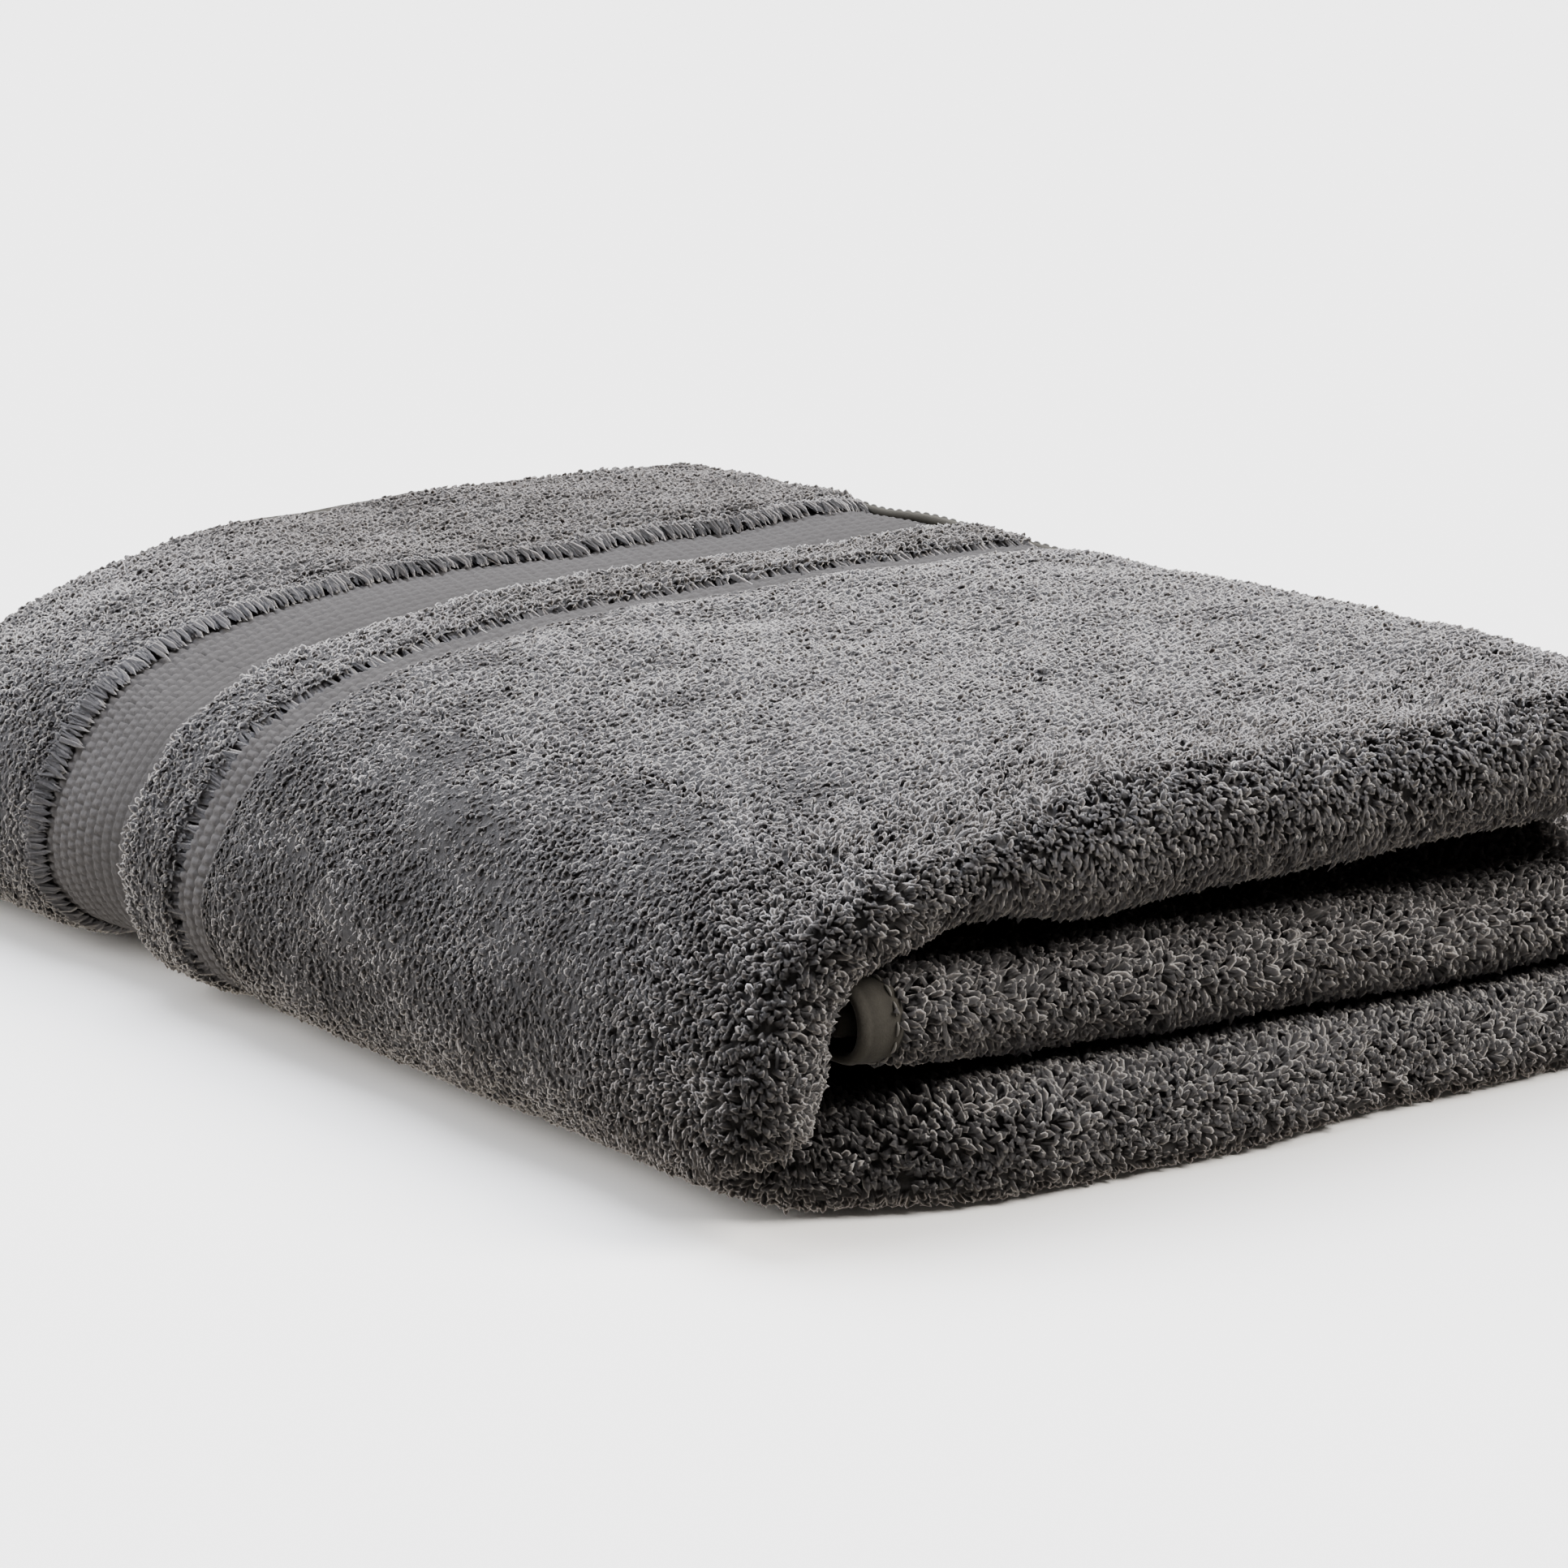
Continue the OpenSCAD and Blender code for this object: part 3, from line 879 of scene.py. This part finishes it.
def side_hem(name, segment, u_edge, sign):
    """The flap's hemmed side edge: one strip down the four layers, round both rolls."""
    u_mid = u_edge - sign * HEM_W / 2
    outer = 2.6  # the hem's middle lies this deep

    def edge_path(u):
        st = station(u)
        th, thf, yf = (float(np.ravel(st[k])[0]) for k in (2, 5, 6))
        r, yr, end = thf / 2, yf + thf / 2, BACK_Y - 2
        pts = []
        n = 180
        pts += [(end + (yr - end) * k / n, outer, outer) for k in range(n)]
        for k in range(0, 33):
            a = PI * k / 32
            roll = r - (r - outer) * math.cos(a)
            pts.append((yr - (r - outer) * math.sin(a), roll * th / thf, roll))
        back = BACK_TURN_Y
        pts += [(yr + (back - yr) * k / n, th - outer, thf - outer) for k in range(1, n)]
        rt = (th / 2 - outer - LAYER_C) / 2
        for k in range(0, 9):
            a = PI * k / 8
            c = outer + rt * (1 - math.cos(a))
            pts.append((back + rt * math.sin(a), th - c, thf - c))
        inner = yf + outer + 8.5
        pts += [(back + (inner - back) * k / n, th / 2 + LAYER_C, thf / 2 + LAYER_C) for k in range(1, n)]
        for k in range(0, 9):
            a = PI * k / 8
            c = LAYER_C * math.cos(a)
            pts.append((inner - LAYER_C * math.sin(a), th / 2 + c, thf / 2 + c))
        pts += [(inner + (end - inner) * k / n, th / 2 - LAYER_C, thf / 2 - LAYER_C) for k in range(1, n + 1)]
        y, a, b = np.array(pts).T
        return locate(np.full(len(y), u), y, a, b)

    centre = edge_path(u_mid)
    wide = unit(edge_path(u_mid + 2) - edge_path(u_mid - 2))
    along = unit(np.gradient(centre, axis=0))
    thick = unit(np.cross(along, wide))
    points, faces, tone = strip_mesh(centre, wide, thick, HEM_W, SIDE_HEM_T, 28, 0.1)
    run = np.linspace(0, 1, len(centre))
    # Painted light: the top flap's hem is made 1.7 times brighter; painted shade: its part in the inner
    # layers is darkened.
    light = 1.7 if segment == "top_flap" else 1.0
    shade = 1 - 0.7 * smooth((run - 0.52) / 0.06)  # the inner layers' part is dark
    tone = light * (tone.reshape(len(centre), -1) * shade[:, None]).ravel()
    obj = new_object(name, points, faces, HEM_M, tone)
    attach(obj, segment, [name])
    return obj, centre, wide, thick


def end_hems(name, segment):
    """The towel's two ends, at the back of the outer layer and of the middle one below it."""
    u0, u1 = SPAN[segment]
    n = int((u1 - u0) / 1.2) + 2
    u = np.linspace(u0, u1, n)
    st = station(u)
    y = np.full(n, BACK_Y - END_HEM / 2)
    all_points, all_faces, all_tones = [], [], []
    offset = 0
    for a, b in ((PILE + 0.2, PILE + 0.2), (st[2] / 2 - LAYER_C, st[5] / 2 - LAYER_C)):
        a, b = np.broadcast_to(a, u.shape), np.broadcast_to(b, u.shape)
        centre = locate(u, y, a, b, st)
        wide = unit(locate(u, y + 3, a, b, st) - locate(u, y - 3, a, b, st))
        along = unit(np.gradient(centre, axis=0))
        thick = unit(np.cross(wide, along))
        points, faces, tone = strip_mesh(centre, wide, thick, END_HEM, HEM_T, 24, 0.1)
        all_points.append(points)
        all_faces.append([f + offset for f in faces])
        all_tones.append(tone)
        offset += len(points)
    faces = [np.concatenate([f[0] for f in all_faces])]
    faces += [f for group in all_faces for f in group[1:]]
    obj = new_object(name, np.concatenate(all_points), faces, HEM_M, np.concatenate(all_tones))
    attach(obj, segment, [name])
    return obj


def stitches(name, segment, hem, inset):
    """A row of lock stitches on the outer face of a side hem."""
    centre, wide, thick = hem
    run = np.concatenate([[0], np.cumsum(np.linalg.norm(np.diff(centre, axis=0), axis=1))])
    pitch, length, radius = 3.2, 2.3, 0.32
    points, quads = [], []
    count = 0
    for k in range(int(run[-1] / pitch) - 1):
        s = (k + np.linspace(0.1, 0.1 + length / pitch, 5)) * pitch
        c = np.stack([np.interp(s, run, centre[:, i]) for i in range(3)], axis=1)
        w = unit(np.stack([np.interp(s, run, wide[:, i]) for i in range(3)], axis=1))
        t = unit(np.stack([np.interp(s, run, thick[:, i]) for i in range(3)], axis=1))
        bulge = np.array([0.15, 0.8, 1.0, 0.8, 0.15])
        c = c + w * inset + t * (HEM_T / 2 - 0.28 + 0.25 * bulge)[:, None]
        a = np.linspace(0, 2 * PI, 6, endpoint=False)
        ring = np.cos(a)[None, :, None] * w[:, None] + np.sin(a)[None, :, None] * t[:, None]
        points.append((c[:, None] + ring * (radius * bulge**0.5)[:, None, None]).reshape(-1, 3))
        quads.append(grid_faces(5, 6, True) + count)
        count += 30
    verts = np.concatenate(points)
    obj = new_object(name, verts, [np.concatenate(quads)], THREAD_M, np.full(len(verts), 0.8))
    attach(obj, segment, [name])
    return obj


# ---------------------------------------------------------------- back turns and the pile between the layers
def back_surface(u, v, lift):
    """Round the fold of the two lower layers at the back: v goes from 0 to 1 round the turn."""
    st = station(u)
    th, thf = st[2], st[5]
    rt = (th / 2 - PILE - GROUND / 2 - LAYER_C) / 2
    a = v * PI
    reach = rt + lift
    y = BACK_TURN_Y + reach * np.sin(a)
    c = PILE + GROUND / 2 + rt - reach * np.cos(a)
    return locate(u, y, th - c, thf - c, st)


def back_turn(segment):
    """The pile on that fold."""
    u0, u1 = pile_limits(segment)
    around = 22
    u, v = scatter(u0, u1, 0, around, 2.0)
    t = v / around
    base = back_surface(u, t, 0.8)
    normal = unit(back_surface(u, t, 2.8) - base)
    tu = unit(back_surface(u + 1, t, 0.8) - back_surface(u - 1, t, 0.8))
    tv = unit(np.cross(tu, normal))
    batches = [locks(base, normal, tu, tv, u, v, 3.0, 1.9, (0, 0), 0.2, False)]
    return pile_pieces(f"{segment}_back_turn", segment, nodes_of(segment, "back_turn"), batches)


# ---------------------------------------------------------------- build
cloth = {}
for segment in SPAN:
    tufts = pile_pieces(f"{segment}_pile", segment, nodes_of(segment, "outer_cloth"), face_pile(segment))
    tufts += pile_pieces(f"{segment}_under_pile", segment, [], under_pile(segment))
    tufts += pile_pieces(
        f"{segment}_border_pile", segment, nodes_of(segment, "pile_strip", "header"), border_pile(segment)
    )
    tufts += back_turn(segment)
    tufts.append(pile_bed(segment))
    tufts.append(under_bed(segment))
    step = 0.5 if segment in SEEN else 1.0
    tufts.append(woven_band(f"{segment}_wide_band", segment, HEADER_END, WIDE_END, step))
    tufts.append(woven_band(f"{segment}_narrow_band", segment, STRIP_END, NARROW_END, step))
    tufts.append(end_hems(f"{segment}_end_hems", segment))
    cloth[segment] = tufts

hem_inner = side_hem("inner_flap_side_hem", "inner_flap", 0.0, -1)
hem_top = side_hem("top_flap_side_hem", "top_flap", LENGTH, 1)
cloth["inner_flap"].append(stitches("inner_flap_side_stitch", "inner_flap", hem_inner[1:], HEM_W / 2 - 2.2))
cloth["top_flap"].append(stitches("top_flap_side_stitch", "top_flap", hem_top[1:], -HEM_W / 2 + 2.2))
cloth["inner_flap"].append(hem_inner[0])
cloth["top_flap"].append(hem_top[0])

HEM_TURN = 7.0  # the ground ends this far inside a side hem
BASE = ("bottom", "inner_flap", "right_bend")
# sheet, the stretches in it, where it starts and ends, its flat width in metres, and what it rests on
CUTS = (
    ("folded_base_ground", BASE, HEM_TURN, SPAN["bottom"][1], 0.43, "floor"),
    ("left_bend_ground", ("left_bend",), *SPAN["left_bend"], 0.085, "floor"),
    ("top_flap_ground", ("top_flap",), TOP_U, LENGTH - HEM_TURN, 0.20, "folded_base_ground"),
)
for name, segments, u0, u1, width, rests_on in CUTS:
    nodes = [f"{segment}_inner_cloth" for segment in segments]
    carried = [piece for segment in segments for piece in cloth[segment]]
    ground_sheet(name, segments[0], u0, u1, nodes)

# ---------------------------------------------------------------- floor, light, camera
bpy.ops.mesh.primitive_plane_add(size=16, location=(0, 0, 0))
floor = bpy.context.object
floor.name = "floor"
floor_material = bpy.data.materials.new("floor")
floor_material.use_nodes = True
floor_shader = floor_material.node_tree.nodes["Principled BSDF"]
floor_shader.inputs["Base Color"].default_value = (0.93, 0.93, 0.93, 1)
floor_shader.inputs["Roughness"].default_value = 0.9
floor.data.materials.append(floor_material)
floor.visible_diffuse = False  # the pale floor throws no light back up, so the front faces stay in shade

# a dim room above, and below the horizon the soft light that a pale table throws back up
ROOM_GLOW = 0.16
TABLE_GLOW = 1.05
world = bpy.data.worlds.new("world")
world.use_nodes = True
world_nodes, world_links = world.node_tree.nodes, world.node_tree.links
direction = world_nodes.new("ShaderNodeTexCoord")
split = world_nodes.new("ShaderNodeSeparateXYZ")
below = world_nodes.new("ShaderNodeMapRange")
below.inputs["From Min"].default_value = 0.02
below.inputs["From Max"].default_value = -0.02
below.inputs["To Min"].default_value = ROOM_GLOW
below.inputs["To Max"].default_value = TABLE_GLOW
world_links.new(direction.outputs["Generated"], split.inputs["Vector"])
world_links.new(split.outputs["Z"], below.inputs["Value"])
world_links.new(below.outputs["Result"], world_nodes["Background"].inputs["Strength"])
world_nodes["Background"].inputs["Color"].default_value = (1, 0.915, 0.80, 1)
bpy.context.scene.world = world


def soft_sun(name, energy, spread, toward, colour):
    """A large, far light: `spread` is how wide it looks from the table, in degrees."""
    data = bpy.data.lights.new(name, "SUN")
    data.energy = energy
    data.angle = math.radians(spread)
    data.color = colour
    lamp = bpy.data.objects.new(name, data)
    bpy.context.scene.collection.objects.link(lamp)
    lamp.rotation_mode = "QUATERNION"
    lamp.rotation_quaternion = Vector(toward).to_track_quat("-Z", "Y")


soft_sun("overhead", 3.6, 85, (0.10, -0.35, -1.0), (0.90, 0.935, 1.0))
soft_sun("key", 5.7, 42, (-0.10, -0.36, -1.0), (0.93, 0.945, 1.0))
soft_sun("front_fill", 5.8, 30, (-0.50, 0.50, -0.68), (1.0, 0.945, 0.87))
soft_sun("back_fill", 4.5, 45, (0.72, -0.66, -0.35), (1.0, 0.96, 0.915))

# a long lens, 13.5 degrees above the table and 38 degrees round from the front
camera_data = bpy.data.cameras.new("camera")
camera_data.sensor_width = 36
camera_data.lens = 110.9
camera = bpy.data.objects.new("camera", camera_data)
bpy.context.scene.collection.objects.link(camera)
camera.location = (-0.6244, -0.81875, 0.285)
camera.rotation_mode = "QUATERNION"
camera.rotation_quaternion = Vector((0.597, 0.768, -0.2326)).to_track_quat("-Z", "Y")
bpy.context.scene.camera = camera
